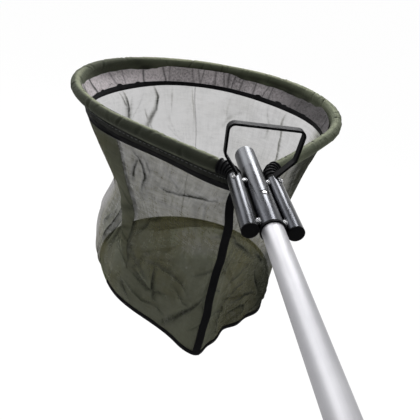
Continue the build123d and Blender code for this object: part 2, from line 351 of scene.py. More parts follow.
def sheet_mesh(name, grid, closed=False, uv=None, fields=None):
    """A mesh of quads over a grid of points [row, column, xyz]; closed joins the last column to the first."""
    rows, cols = grid.shape[:2]
    verts = to_frame(grid.reshape(-1, 3))
    faces = []
    last = cols if closed else cols - 1
    for r in range(rows - 1):
        for c in range(last):
            d = (c + 1) % cols
            faces.append((r * cols + c, r * cols + d, (r + 1) * cols + d, (r + 1) * cols + c))
    mesh = smooth_mesh(name, verts, faces)
    if uv is not None:
        layer = mesh.uv_layers.new(name="cloth")
        flat = uv.reshape(-1, 2)
        wide = flat[:, 0].max() - flat[:, 0].min()
        whole = wide * (cols / max(cols - 1, 1))  # with the joining quads
        data = []
        for polygon in mesh.polygons:
            us = [flat[v] for v in polygon.vertices]
            top = max(u[0] for u in us)
            for u in us:
                shift = whole if closed and top - u[0] > wide / 2 else 0
                data.extend((u[0] + shift, u[1]))
        layer.data.foreach_set("uv", data)
    for key, values in (fields or {}).items():
        attribute = mesh.attributes.new(key, "FLOAT", "POINT")
        attribute.data.foreach_set("value", np.asarray(values, np.float32).ravel())
    return linked(name, mesh)


def threads(name, starts, ends, radius):
    """Short straight threads from starts to ends, in millimetres, as one mesh."""
    sides, rings_each = 5, 4
    starts, ends = np.asarray(starts, float), np.asarray(ends, float)
    run = ends - starts
    run /= np.linalg.norm(run, axis=1, keepdims=True)
    side = np.cross(run, (0, 0, 1))
    side /= np.maximum(np.linalg.norm(side, axis=1, keepdims=True), 1e-6)
    up = np.cross(side, run)
    a = np.linspace(0, 2 * math.pi, sides, endpoint=False)[None, :, None]
    ring = (np.cos(a) * side[:, None] + np.sin(a) * up[:, None]) * radius
    rings = []
    for part, size in ((0, 0.4), (0.2, 1), (0.8, 1), (1, 0.4)):
        rings.append((starts + (ends - starts) * part)[:, None] + ring * size)
    verts = to_frame(np.stack(rings, axis=1).reshape(-1, 3))
    faces = []
    for i in range(len(starts)):
        first = i * sides * rings_each
        last = first + sides * (rings_each - 1)
        for at in range(first, last, sides):
            for c in range(sides):
                d = (c + 1) % sides
                faces.append((at + c, at + d, at + sides + d, at + sides + c))
        faces.append(tuple(first + sides - 1 - c for c in range(sides)))
        faces.append(tuple(last + c for c in range(sides)))
    return linked(name, smooth_mesh(name, verts, faces))


def thicken(obj, thickness, offset=0.0):
    """Gives a sheet its real thickness, in millimetres."""
    modifier = obj.modifiers.new("thickness", "SOLIDIFY")
    modifier.thickness = thickness * MM
    modifier.offset = offset
    return obj


# ---- materials

def feed(tree, socket, value):
    """Links a socket to another node's output, or gives it a plain value."""
    if isinstance(value, bpy.types.NodeSocket):
        tree.links.new(value, socket)
    else:
        socket.default_value = value


class Shader:
    """A material with a Principled shader and short calls for the nodes that feed it."""

    def __init__(self, name, colour, roughness, metallic=0.0, **sockets):
        self.material = bpy.data.materials.new(name)
        self.material.use_nodes = True
        self.tree = self.material.node_tree
        self.bsdf = self.tree.nodes["Principled BSDF"]
        self.bsdf.inputs["Base Color"].default_value = (*colour, 1)
        self.bsdf.inputs["Roughness"].default_value = roughness
        self.bsdf.inputs["Metallic"].default_value = metallic
        for key, value in sockets.items():
            self.bsdf.inputs[key.replace("_", " ")].default_value = value

    def node(self, kind, inputs=None, **settings):
        node = self.tree.nodes.new("ShaderNode" + kind)
        for key, value in settings.items():
            setattr(node, key, value)
        for key, value in (inputs or {}).items():
            feed(self.tree, node.inputs[key], value)
        return node

    def place(self, scale=(1, 1, 1), source="Object"):
        """Coordinates in metres of the object, or of the cloth, stretched by scale."""
        if source == "Object":
            start = self.node("TexCoord").outputs["Object"]
        else:
            start = self.node("UVMap", uv_map=source).outputs["UV"]
        return self.node("Mapping", {"Vector": start, "Scale": scale}).outputs["Vector"]

    def noise(self, scale, detail=3.0, stretch=(1, 1, 1), source="Object", rough=0.5):
        inputs = {"Vector": self.place(stretch, source), "Scale": scale, "Detail": detail, "Roughness": rough}
        return self.node("TexNoise", inputs).outputs["Fac"]

    def wave(self, scale, distortion, stretch=(1, 1, 1), source="Object", bands="X"):
        inputs = {"Vector": self.place(stretch, source), "Scale": scale, "Distortion": distortion}
        return self.node("TexWave", inputs, bands_direction=bands).outputs["Fac"]

    def along(self, axis):
        """The coordinate in metres along an axis of the shared frame."""
        return self.node("SeparateXYZ", {"Vector": self.place()}).outputs[axis]

    def field(self, name):
        return self.node("Attribute", attribute_name=name).outputs["Fac"]

    def sum(self, a, b, kind="ADD"):
        return self.node("Math", {0: a, 1: b}, operation=kind).outputs[0]

    def times(self, a, b):
        return self.sum(a, b, "MULTIPLY")

    def ramp(self, value, low, high, to_low=0.0, to_high=1.0):
        inputs = {"Value": value, "From Min": low, "From Max": high, "To Min": to_low, "To Max": to_high}
        return self.node("MapRange", inputs).outputs["Result"]

    def blend(self, factor, a, b):
        """A mix of two colours, each a socket or three numbers."""
        a, b = (c if isinstance(c, bpy.types.NodeSocket) else (*c, 1) for c in (a, b))
        return self.node("Mix", {0: factor, 6: a, 7: b}, data_type="RGBA").outputs[2]

    def set(self, socket, value):
        self.tree.links.new(value, self.bsdf.inputs[socket])

    def paint(self, factor, a, b):
        self.set("Base Color", self.blend(factor, a, b))

    def bump(self, height, strength, distance):
        node = self.node("Bump", {"Height": height, "Strength": strength, "Distance": distance})
        self.tree.links.new(node.outputs["Normal"], self.bsdf.inputs["Normal"])


def aluminium():
    """Satin drawn tube, with scuffs, and painted light: its colour gets lighter towards the head."""
    s = Shader("pole_aluminium", (0.44, 0.44, 0.46), 0.56, 0.85)
    drawn = s.noise(1.0, 4, (900, 8, 900))
    patches = s.noise(11.0, 3, rough=0.6)
    scuffs = s.ramp(s.noise(1.0, 2, (60, 9, 60)), 0.60, 0.72)
    # painted light: the colour gets lighter towards the head
    near = s.ramp(s.along("Y"), 0.58, 0.78)
    smooth = s.blend(near, (0.305, 0.305, 0.32), (0.42, 0.418, 0.436))
    smooth = s.blend(s.ramp(patches, 0.35, 0.65), smooth, (0.40, 0.398, 0.415))
    s.paint(s.times(scuffs, 0.35), smooth, (0.22, 0.22, 0.23))
    s.set("Roughness", s.ramp(s.sum(drawn, patches), 0.6, 1.4, 0.50, 0.62))
    s.bump(drawn, 0.12, 0.0001)
    return s.material


def dark_chrome(dull_from=None):
    """Dark bright plating; beyond a given point along the tube it is lighter in colour and rougher."""
    s = Shader("dark_chrome" if dull_from is None else "dark_chrome_dull_end", (0.06, 0.062, 0.068), 0.16, 1.0)
    film = s.noise(26.0, 3)
    streak = s.noise(1.0, 2, (90, 5, 90))
    bright = s.blend(s.ramp(s.sum(film, streak), 0.7, 1.3), (0.018, 0.019, 0.022), (0.048, 0.050, 0.057))
    rough = s.ramp(film, 0.3, 0.7, 0.24, 0.30)
    if dull_from is not None:
        dull = s.ramp(s.sum(s.along("Y"), s.times(film, 0.004)), dull_from, dull_from + 0.003)
        bright = s.blend(dull, bright, (0.062, 0.065, 0.072))
        rough = s.sum(rough, s.times(dull, 0.12))
    s.set("Base Color", bright)
    s.set("Roughness", rough)
    s.bump(s.noise(60.0, 2), 0.02, 0.0002)
    return s.material


def weld():
    s = Shader("weld_metal", (0.3, 0.3, 0.31), 0.22, 1.0)
    beads = s.sum(s.wave(260.0, 6.0, (1, 1, 0.3)), s.noise(420.0, 2))
    s.paint(s.ramp(beads, 0.5, 1.4), (0.05, 0.05, 0.055), (0.80, 0.80, 0.82))
    s.bump(beads, 0.9, 0.001)
    return s.material


def enamel():
    """Black enamel. Painted light: its flat faces are painted lighter, unevenly and least on those turned to
    the left; the narrow edges stay black.
    """
    s = Shader("black_enamel", (0.006, 0.006, 0.007), 0.5, Specular_IOR_Level=0.03)
    facing = s.node("SeparateXYZ", {"Vector": s.node("NewGeometry").outputs["Normal"]})
    flat = s.ramp(s.sum(facing.outputs["Y"], 0, "ABSOLUTE"), 0.75, 0.35)
    # painted light on the flat faces, less on those turned to the left
    painted_face_light = s.times(flat, s.ramp(s.noise(55.0, 4), 0.3, 0.7, 0.35, 1.0))
    painted_face_light = s.times(painted_face_light, s.ramp(facing.outputs["X"], -0.8, -0.3, 0.15, 1.0))
    s.paint(painted_face_light, (0.002, 0.002, 0.0025), (0.045, 0.045, 0.048))
    s.set("Roughness", s.ramp(s.noise(120.0), 0.3, 0.7, 0.48, 0.6))
    s.bump(s.noise(300.0), 0.06, 0.0002)
    return s.material


def plastic():
    s = Shader("black_plastic", (0.003, 0.003, 0.003), 0.55, Specular_IOR_Level=0.03)
    s.paint(s.noise(60.0), (0.001, 0.001, 0.0013), (0.004, 0.004, 0.0045))
    s.set("Roughness", s.ramp(s.noise(200.0), 0.3, 0.7, 0.38, 0.55))
    s.bump(s.noise(700.0, 2), 0.15, 0.0002)
    return s.material


def boot_rubber():
    s = Shader("boot_rubber", (0.004, 0.004, 0.005), 0.5, Specular_IOR_Level=0.03)
    s.paint(s.noise(90.0), (0.0025, 0.0025, 0.003), (0.009, 0.009, 0.010))
    s.set("Roughness", s.ramp(s.noise(150.0), 0.3, 0.7, 0.5, 0.65))
    s.bump(s.noise(500.0), 0.2, 0.0003)
    return s.material


def foam():
    s = Shader("grip_foam", (0.02, 0.02, 0.022), 0.9, Specular_IOR_Level=0.2)
    cells = s.node("TexVoronoi", {"Vector": s.place(), "Scale": 900.0}).outputs["Distance"]
    s.paint(s.noise(30.0), (0.014, 0.014, 0.016), (0.032, 0.032, 0.035))
    s.bump(cells, 0.5, 0.0006)
    return s.material


def steel():
    s = Shader("spring_steel", (0.3, 0.3, 0.31), 0.25, 1.0)
    s.paint(s.noise(300.0), (0.03, 0.03, 0.032), (0.30, 0.30, 0.31))
    s.set("Roughness", s.ramp(s.noise(400.0), 0.3, 0.7, 0.15, 0.3))
    return s.material


def sleeve_fabric(name="sleeve_fabric", deep=(0.052, 0.060, 0.038), pale=(0.106, 0.116, 0.078)):
    """Olive woven nylon. One field paints shade into its creases and shaded parts, the other paints light on
    its top, making it pale.
    """
    s = Shader(name, (0.06, 0.075, 0.040), 0.85, Specular_IOR_Level=0.15, Sheen_Weight=0.12,
               Sheen_Roughness=0.5, Sheen_Tint=(0.75, 0.8, 0.6, 1))
    patches = s.noise(22.0, 4)
    weave = s.wave(330.0, 1.0, source="cloth", bands="DIAGONAL")
    colour = s.blend(s.ramp(patches, 0.3, 0.7), deep, pale)
    # painted light: the sleeve's top is painted pale
    colour = s.blend(s.times(s.field("painted_top_light"), 0.75), colour, (0.27, 0.285, 0.195))
    # painted shade, near black, from its field
    s.paint(s.field("painted_shade"), colour, (0.008, 0.009, 0.006))
    s.bump(s.sum(s.times(weave, 0.35), s.noise(240.0, 3)), 0.5, 0.0012)
    return s.material


def black_tape(name="black_tape", tone=(0.002, 0.002, 0.0025), worn=(0.007, 0.007, 0.008)):
    """Woven black binding."""
    s = Shader(name, tone, 0.85, Specular_IOR_Level=0.06, Sheen_Weight=0.03)
    s.paint(s.ramp(s.noise(35.0), 0.3, 0.7), tone, worn)
    s.bump(s.wave(260.0, 0.6, source="cloth"), 0.3, 0.0004)
    return s.material


def band_mesh():
    """Crumpled doubled mesh inside the rim, painted grey where light would catch it, with painted shade in
    its tucks and on its right.
    """
    s = Shader("band_mesh", (0.2, 0.2, 0.22), 0.85, Specular_IOR_Level=0.15)
    crumple = s.noise(1.0, 6, (260, 230, 1), "cloth", 0.8)
    patches = s.noise(9.0, 3)
    tone = s.sum(crumple, s.times(patches, 0.6))
    colour = s.blend(s.ramp(tone, 0.58, 0.92), (0.075, 0.071, 0.073), (0.66, 0.61, 0.63))
    # painted shade in its tucks and on its right side
    s.paint(s.field("painted_shade"), colour, (0.018, 0.018, 0.018))
    s.bump(crumple, 0.7, 0.002)
    return s.material


def net(name, thin, thick, yarn, folded):
    """Fine see-through mesh. The field "cover" says how far it is folded: then it is opaque and olive.

    thin and thick are its alpha as single and as folded cloth, yarn and folded the colours. The
    dark field paints shade, near black, into its folds, gathers and wrinkles.
    """
    s = Shader(name, yarn, 0.9, Specular_IOR_Level=0.1)
    knit = s.noise(1.0, 2, (520, 40, 1), "cloth", 0.6)
    rows = s.noise(1.0, 2, (30, 420, 1), "cloth", 0.6)
    patches = s.noise(10.0, 4, rough=0.6)
    blotches = s.noise(28.0, 5, rough=0.7)
    cover = s.field("cover")
    tone = s.sum(cover, s.ramp(patches, 0.35, 0.65, -0.12, 0.12))
    colour = s.blend(s.ramp(tone, 0.05, 0.40), yarn, folded)
    colour = s.blend(s.ramp(tone, 0.55, 0.75), colour, (0.125, 0.130, 0.092))
    # painted shade from the dark field
    s.paint(s.field("dark"), colour, (0.010, 0.011, 0.006))
    slubs = s.sum(s.noise(1.0, 4, (130, 14, 1), "cloth"), s.noise(1.0, 3, (60, 150, 1), "cloth"))
    weave = s.sum(s.ramp(slubs, 0.7, 1.3, -0.2, 0.2), s.ramp(s.sum(knit, rows), 0.7, 1.3, -0.17, 0.17))
    full = s.sum(cover, s.times(weave, s.ramp(cover, 0.0, 0.5, 0.25, 0.9)))
    full = s.sum(full, s.ramp(s.sum(patches, blotches), 0.7, 1.3, -0.10, 0.10))
    s.set("Alpha", s.ramp(full, 0.0, 1.0, thin, thick))
    s.bump(s.sum(knit, blotches), 0.4, 0.0009)
    return s.material


def thread(name, colour):
    """Sewing thread, a little uneven in tone."""
    s = Shader(name, colour, 0.7, Specular_IOR_Level=0.2)
    s.paint(s.noise(120.0), tuple(c * 0.75 for c in colour), colour)
    return s.material


# ---- pieces

def finish_piece(obj, material, body, replaced=()):
    """Gives a piece its material and body, and hides the CAD nodes that it replaces."""
    obj.data.materials.clear()
    obj.data.materials.append(material)
    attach(obj, body)
    if replaced:
        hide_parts(*replaced)
    return obj


def rim_frame(rows):
    """The hoop's line, the direction away from the bag, and the distance along the line."""
    line = hoop_line(rows)
    tangent = np.gradient(line, axis=0)
    tangent /= np.linalg.norm(tangent, axis=1, keepdims=True)
    outward = np.stack([-tangent[:, 1], tangent[:, 0]], axis=1)  # the line runs clockwise from the left arm
    along = np.concatenate([[0], np.cumsum(np.linalg.norm(np.diff(line, axis=0), axis=1))])
    return line, outward, along


FIN_ANGLE = math.atan2(FIN_BOTTOM, -FIN_INSET)
FIN_REACH = math.hypot(FIN_BOTTOM, FIN_INSET)


def sleeve_radius(a):
    """Section of the sleeve: round, with its seam allowance hanging inwards below."""
    away = np.abs(angle_from(a, FIN_ANGLE))
    wrap = math.acos(SLEEVE_RADIUS / FIN_REACH)
    drop = SLEEVE_RADIUS / np.cos(wrap - np.minimum(away, wrap))
    flap = SLEEVE_RADIUS + (FIN_REACH - SLEEVE_RADIUS) * bell(away / 0.26)
    return 0.35 * drop + 0.65 * flap


def gather(radius, painted_shade, a, t):
    """Draws the gathers in at odd places along the sleeve, deepest on one side each, and paints shade into
    them.
    """
    place = 8.0
    while place < t[-1] - 8:
        middle = rng.uniform(-0.4, 3.4)
        skew = rng.uniform(-7, 7)
        depth = rng.uniform(0.4, 1.7)
        wide = rng.uniform(1.4, 3.8)
        away = t[:, None] - place - skew * np.sin(a - middle)[None, :]
        reach = bell(angle_from(a, middle))[None, :]
        radius = radius - depth * reach * bell(away / wide)
        radius = radius + 0.5 * depth * reach * bell((away - 1.9 * wide) / (1.3 * wide))
        # painted shade in the gather
        painted_shade = np.maximum(painted_shade, 0.75 * depth / 1.7 * reach * bell(away / (0.6 * wide)))
        place += rng.uniform(7, 26)
    return radius, painted_shade


def sleeve_painted_light(a, t):
    """Where light is painted on the sleeve, making it pale: along its top, less on the left and the right."""
    high = angle_from(a, math.radians(108))
    top = np.exp(-((high / 0.42) ** 4))[None, :]
    keeps = 1 - 0.75 * bell((t - 480) / 90) - 0.5 * smooth_step((t - 900) / 100)
    rear = smooth_step((t - 430) / 80) * smooth_step((t[-1] - 330 - t) / 80)
    return top * keeps[:, None] + 0.6 * rear[:, None] * bell((high + 0.75) / 0.4)[None, :]


def sleeve_painted_shade(a, t):
    """Painted shade on the sleeve: at its seam, on its outer side in front and on the left."""
    broken = 0.55 + 0.2 * np.sin(t / 13) + 0.2 * np.sin(t / 7.1 + 1) + 0.15 * np.sin(t / 31 + 2)
    seam = np.clip(broken, 0, 1)[:, None] * bell(angle_from(a, FIN_ANGLE) / 0.75)[None, :]
    above_outward = np.where(np.cos(a) > 0, np.arcsin(np.sin(a)), math.inf)
    outer = smooth_step((math.radians(78) - above_outward) / 0.2)
    side = outer[None, :] * smooth_step((430 - t) / 120)[:, None]
    left = bell((t - 500) / 110)[:, None]
    return np.maximum(seam, np.maximum(0.80 * side, 0.62 * left))


def make_sleeve():
    """Fabric tube on the rod, creased where it is gathered, closing to a seam below."""
    rows, cols = 900, 48
    line, outward, t = rim_frame(rows)
    spread = np.linspace(0, 2 * math.pi, cols, endpoint=False)
    a = FIN_ANGLE + spread - 0.45 * np.sin(spread)
    radius = np.repeat(sleeve_radius(a)[None, :], rows, axis=0)
    radius *= 1 + 0.03 * np.sin(t / 47)[:, None] + 0.02 * np.sin(t / 19 + 1)[:, None]
    radius, painted_shade = gather(radius, np.zeros((rows, cols)), a, t)
    ends = np.minimum(t, t[-1] - t)
    radius *= (1 - 0.2 * np.exp(-ends / 5))[:, None]
    # painted shade and painted light for the sleeve's colour
    fields = {"painted_shade": np.maximum(painted_shade, sleeve_painted_shade(a, t)), "painted_top_light": sleeve_painted_light(a, t)}
    across, up = np.cos(a)[None, :] * radius, np.sin(a)[None, :] * radius
    xy = line[:, None] + outward[:, None] * across[..., None]
    grid = np.concatenate([xy, up[..., None]], axis=-1)
    uv = np.stack(np.broadcast_arrays(spread[None, :] * SLEEVE_RADIUS * MM, t[:, None] * MM), axis=-1)
    return thicken(sheet_mesh("sleeve", grid, closed=True, uv=uv, fields=fields), 0.7)


def make_sleeve_stitches():
    """Slanted overcast stitches along the inner top of the sleeve."""
    line, outward, t = rim_frame(2400)
    at = np.arange(14, t[-1] - 14, 3.4)

    def on_sleeve(where, angle, lift):
        i = np.clip(np.searchsorted(t, where), 0, len(t) - 1)
        r = SLEEVE_RADIUS + lift
        xy = line[i] + outward[i] * (math.cos(angle) * r)
        return np.concatenate([xy, np.full((len(i), 1), math.sin(angle) * r)], axis=1)

    low, high = math.radians(134), math.radians(99)
    return threads("sleeve_stitches", on_sleeve(at, low, 0.15), on_sleeve(at + 2.6, high, 0.15), 0.42)


def ring_strip(name, top, bottom, lean, rows, cols=720, ripple=0.0, tucks=0, shade=0.0, dip=0.0):
    """A strip of cloth round the bag between two heights.

    lean is how far out it is from top to bottom, tucks how many it has, each with painted shade, shade how
    much painted shade darkens it on the right, and dip how much lower its top is in front, where the pole
    passes over it.
    """
    share = np.linspace(0, 1, cols, endpoint=False)[None, :]
    part = np.linspace(0, 1, rows)[:, None]
    low_top = top - dip * smooth_step((DIP_SHARE - np.minimum(share, 1 - share)) / 0.02)
    height = low_top + (bottom - low_top) * part
    ripples = waves(share, 23, height / 5) + 0.6 * waves(share, 57, -height / 3)
    out = np.interp(part, np.linspace(0, 1, len(lean)), lean) + ripple * ripples * np.sin(part * math.pi)
    # painted shade on the right side
    painted_shade = shade * np.broadcast_to(smooth_step((0.46 - share) / 0.16), (rows, cols))
    for _ in range(tucks):
        middle, slant, wide = rng.uniform(0, 1), rng.uniform(-0.006, 0.006), rng.uniform(0.0010, 0.0022)
        tuck = bump_at(share - slant * part, middle, wide)
        out = out - tuck * np.sin(part * math.pi)
        # painted shade in the tuck
        painted_shade = np.maximum(painted_shade, rng.uniform(0.4, 1.0) * tuck)
    grid = bag_wall(share, height, out)
    uv = np.stack(np.broadcast_arrays(share * RIM_ROUND * MM, height * MM), axis=-1)
    return sheet_mesh(name, grid, closed=True, uv=uv, fields={"painted_shade": painted_shade})


def make_band_stitches():
    """Running stitches along the top of the black band outside the rim."""
    share = np.arange(0.004, 0.996, 0.0047)
    height = FIN_BOTTOM - 3.5 + 0.7 * waves(share, 9)
    starts, ends = bag_wall(share, height, 2.2), bag_wall(share + 0.0029, height, 2.2)
    return threads("band_stitches", starts, ends, 0.5)


def bag_hang(share, height):
    """How far the cloth hangs outside or inside the plain surface, in millimetres."""
    low = smooth_step((-height - 240) / 100)
    edge = smooth_step((-height - 318) / 37)
    hang = 9 * low * bump_at(share, 0.138, 0.035) - 9 * edge * bump_at(share, 0.76, 0.10)
    return hang + 3.0 * low * waves(share, 21, 0.6) * bump_at(share, 0.10, 0.09)


def cloth_distance(share, height, line):
    """Distance in millimetres from points of the wall to a line on it, and how far along they are."""
    best = np.full(share.shape, 1e9)
    along = np.zeros(share.shape)
    parts = len(line) - 1
    for k, ((s0, h0), (s1, h1)) in enumerate(zip(line, line[1:])):
        du, dv = share_from(s1, s0) * WALL_ROUND, h1 - h0
        u, v = share_from(share, s0) * WALL_ROUND, height - h0
        t = np.clip((u * du + v * dv) / (du * du + dv * dv), 0, 1)
        away = np.hypot(u - t * du, v - t * dv)
        closer = away < best
        best = np.where(closer, away, best)
        along = np.where(closer, (k + t) / parts, along)
    return best, along


def add_folds(share, height, out, cover, dark):
    """Pushes the folds into the wall, makes it fuller there and paints shade into them."""
    for line, wide, wide_end, push, full in FOLDS + small_folds:
        away, along = cloth_distance(share, height, line)
        away = away / (wide + (wide_end - wide) * along)
        fade = np.sqrt(np.clip(np.sin(math.pi * np.clip(along, 0.03, 0.97)), 0, 1))
        out = out + push * fade * (bell(away) - 0.35 * bell(away / 2.5))
        strength = min(1, full * 1.2) * fade
        cover = np.maximum(cover, strength * bell(away / 0.7))
        # painted shade in the fold
        dark = np.maximum(dark, strength * bell(away / 0.8))
    return out, cover, dark


def make_small_folds(count):
    """Short shallow creases all over the wall."""
    lines = []
    for _ in range(count):
        at, height = rng.uniform(0, 1), rng.uniform(-330, -60)
        reach, lean = rng.uniform(15, 45), rng.uniform(-1.2, 1.2)
        du, dv = reach * math.sin(lean) / WALL_ROUND, reach * math.cos(lean)
        bow = rng.uniform(-6, 6) / WALL_ROUND
        near = math.cos(at * 2 * math.pi) > -0.1
        full = rng.uniform(0.40, 0.60) if near else rng.uniform(0.06, 0.16)
        wide = rng.uniform(2.5, 5)
        lines.append(([(at - du, height - dv), (at + bow, height), (at + du, height + dv)],
                      wide, wide * 1.3, rng.uniform(-2.5, 2.5), full))
    return lines


small_folds = make_small_folds(SMALL_FOLDS)


def pleat(share, height):
    """The side pleat's cloth, folded back on itself: share moved, lift and cover."""
    heights, lefts, rights = zip(*reversed(SIDE_PLEAT))
    left, right = np.interp(height, heights, lefts), np.interp(height, heights, rights)
    t = (share - left) / np.maximum(right - left, 1e-4)
    depth = smooth_step((height - heights[0]) / 30)
    inside = (t > 0) & (t < 1)
    folded = np.interp(t, *PLEAT_FOLDED)
    moved = np.where(inside, left + (right - left) * (t + depth * (folded - t)), share)
    lift = np.where(inside, np.interp(t, *PLEAT_LIFT), 0) * depth
    return moved, lift, np.where(inside, 0.72 * depth, 0)


def wall_cover(share, height):
    """How full the mesh is, from 0, a single layer, to 1, folded till it is opaque, and how much painted
    shade it has.
    """
    front = 0.5 + 0.5 * np.cos(share * 2 * math.pi)
    low = smooth_step((-height - 60) / 170)
    # painted shade: the front half is made fuller, so darker and more olive, than the back
    cover = 0.01 + 0.45 * smooth_step((front - 0.42) / 0.2) + 0.22 * low * smooth_step((front - 0.3) / 0.3)
    cover = cover + 0.12 * bump_at(share, 0.36, 0.09) + 0.13 * bump_at(share, 0.965, 0.045) * low
    # gathered under the rim at the right, down to an uneven end, with painted shade in the gathers
    end = 152 + 22 * waves(share, 31) + 14 * waves(share, 73, 1)
    corner = smooth_step((share - 0.10) / 0.05) * smooth_step((0.28 - share) / 0.06)
    corner = corner * smooth_step((height + end) / 85 + 0.4)
    gathers = 0.5 + 0.3 * waves(share, 68, height / 45) + 0.2 * waves(share, 43, -height / 60)
    # slack and doubled above the base at the right, with painted shade
    skirt = bump_at(share, 0.155, 0.042) * smooth_step((-height - 190) / 50)
    skirt = np.maximum(skirt, 0.5 * bump_at(share, 0.09, 0.06) * smooth_step((-height - 240) / 60))
    # painted shade in the gathered corner and the slack skirt
    dark = np.maximum((0.72 + 0.26 * gathers) * corner, 0.85 * skirt)
    return np.maximum(cover, np.maximum((0.84 + 0.13 * gathers) * corner, 0.86 * skirt)), dark


def make_wall(name, first, last):
    """One panel of the wall, between two shares of the way round."""
    rows, cols = 178, 560
    share, height = np.broadcast_arrays(
        np.linspace(first, last, cols)[None, :], np.linspace(TAPE_BOTTOM + 1, BAG_BOTTOM, rows)[:, None])
    loose = np.sin((height - TAPE_BOTTOM) / (BAG_BOTTOM - TAPE_BOTTOM) * math.pi)
    billow = 1.4 * waves(share, 17, height / 34) + 0.8 * waves(share, 41, -height / 19)
    out = bag_hang(share, height) + loose * billow
    full, dark = wall_cover(share, height)
    moved, lift, cover = pleat(share, height)
    dark = dark * (1 - smooth_step(cover / 0.5))
    out, cover, dark = add_folds(share, height, out + lift, np.maximum(cover, full), dark)
    grid = bag_wall(moved, height, out)
    uv = np.stack([share * WALL_ROUND * MM, height * MM], axis=-1)
    return sheet_mesh(name, grid, uv=uv, fields={"cover": cover, "dark": dark})


def base_edge(share, out=0.0):
    """Points of the bag's lower edge, moved outwards by out."""
    return bag_wall(share, BAG_BOTTOM, bag_hang(share, BAG_BOTTOM) + out)


def wrinkle(x, y, z, slack, dark):
    """Lays long curved wrinkles in the base, with painted shade in most of them."""
    for _ in range(BASE_WRINKLES):
        x0, y0, lean = rng.uniform(-190, 130), rng.uniform(40, 370), rng.uniform(0, math.pi)
        reach, wide, high = rng.uniform(25, 80), rng.uniform(3, 8), rng.uniform(-3, 3)
        along = (x - x0) * math.cos(lean) + (y - y0) * math.sin(lean)
        across = (y - y0) * math.cos(lean) - (x - x0) * math.sin(lean) - 6 * np.sin(along / 22)
        mark = np.exp(-((across / wide) ** 2) - (along / reach) ** 4)
        z = z + high * slack * mark
        dark = np.maximum(dark, rng.uniform(0.4, 0.95) * mark)
    return z, dark


def rear_allowance(share, inner):
    """The seam allowance at the rear, folded in on the base: where it lies, and its painted shade."""
    reach = np.interp(share, *ALLOWANCE)
    rear = smooth_step((0.32 - np.abs(share - 0.5)) / 0.08)
    inside = smooth_step((reach - inner) / 0.012 + 0.5)
    dark = inside * (0.64 + 0.26 * np.clip(inner / reach, 0, 1) ** 2) + 0.5 * bell((inner - reach) / 0.012)
    return rear * inside, rear * np.minimum(dark, 0.92)


def single_cloth(x, y):
    """Two patches of the base that aren't crumpled, so they are single and lighter."""
    rear = np.exp(-(((x - 10) / 62) ** 4) - ((y - 318) / 60) ** 4)
    left = 0.8 * np.exp(-(((x + 205) / 40) ** 4) - ((y - 250) / 60) ** 4)
    return np.maximum(rear, left)


def make_base():
    """The base panel: rings from its edge to its middle, slack and wrinkled between them."""
    rows, cols = 100, 480
    share = np.linspace(0, 1, cols, endpoint=False)[None, :]
    part = np.linspace(1, 0.01, rows)[:, None]
    edge = base_edge(share)[..., :2]
    middle = edge.mean(axis=1, keepdims=True)
    xy = middle + (edge - middle) * part[..., None]
    x, y = xy[..., 0], xy[..., 1]
    slack = 1 - part**4
    z = BAG_BOTTOM + slack * (2.2 * np.sin(x / 31 + y / 53) + 1.4 * np.sin(x / 17 - y / 23) - 2)
    # uneven painted shade over the base
    dark = 0.22 + 0.20 * np.sin(x / 33 + y / 47) * np.sin(y / 29 + 2)
    z, dark = wrinkle(x, y, z, slack, dark)
    folded_in, fold_dark = rear_allowance(share, 1 - part)
    dark = np.maximum(dark * (1 - folded_in), fold_dark)
    single = single_cloth(x, y) * (1 - folded_in)
    dark = dark * (1 - 0.7 * single)
    cover = 0.84 + 0.16 * np.sin(x / 40 + 1) * np.sin(y / 37)
    fields = {"cover": np.maximum(cover * (1 - single), 1.4 * dark), "dark": dark}
    grid = np.concatenate([xy, z[..., None]], axis=-1)
    return sheet_mesh("base_net", grid, closed=True, uv=grid[..., :2] * MM, fields=fields)


def make_front_tape():
    """Black tape down the front seam, swaying with the cloth."""
    rows = 150
    height = np.linspace(TAPE_BOTTOM + 6, BAG_BOTTOM, rows)
    across = np.linspace(-0.58, 0.58, 7) * SEAM_WIDTH
    front = bag_plan(np.zeros(rows), height)
    sway = np.interp(-height, *TAPE_SWAY) + 0.5 * np.sin(height / 21) + 0.4 * np.sin(height / 9)
    x = front[:, None, 0] + across[None, :] + sway[:, None]
    y = front[:, None, 1] - 3.6 - 0.14 * across[None, :] + 0.2 * sway[:, None]
    z = np.broadcast_to(height[:, None], x.shape)
    uv = np.stack([x, z], axis=-1) * MM
    return thicken(sheet_mesh("front_tape", np.stack([x, y, z], axis=-1), uv=uv), 1.0)


def make_rear_seam():
    """The narrow seam that joins the two panels at the back."""
    height = np.linspace(TAPE_BOTTOM, BAG_BOTTOM, 120)[:, None]
    share = 0.5 + np.linspace(-0.0012, 0.0012, 3)[None, :] + 0.0008 * np.sin(height / 14)
    grid = bag_wall(share, height, bag_hang(share, height) - 1.0)
    uv = np.stack(np.broadcast_arrays(share * WALL_ROUND * MM, height * MM), axis=-1)
    plain = np.zeros(grid.shape[:2])
    return sheet_mesh("rear_seam", grid, uv=uv, fields={"cover": plain, "dark": plain})


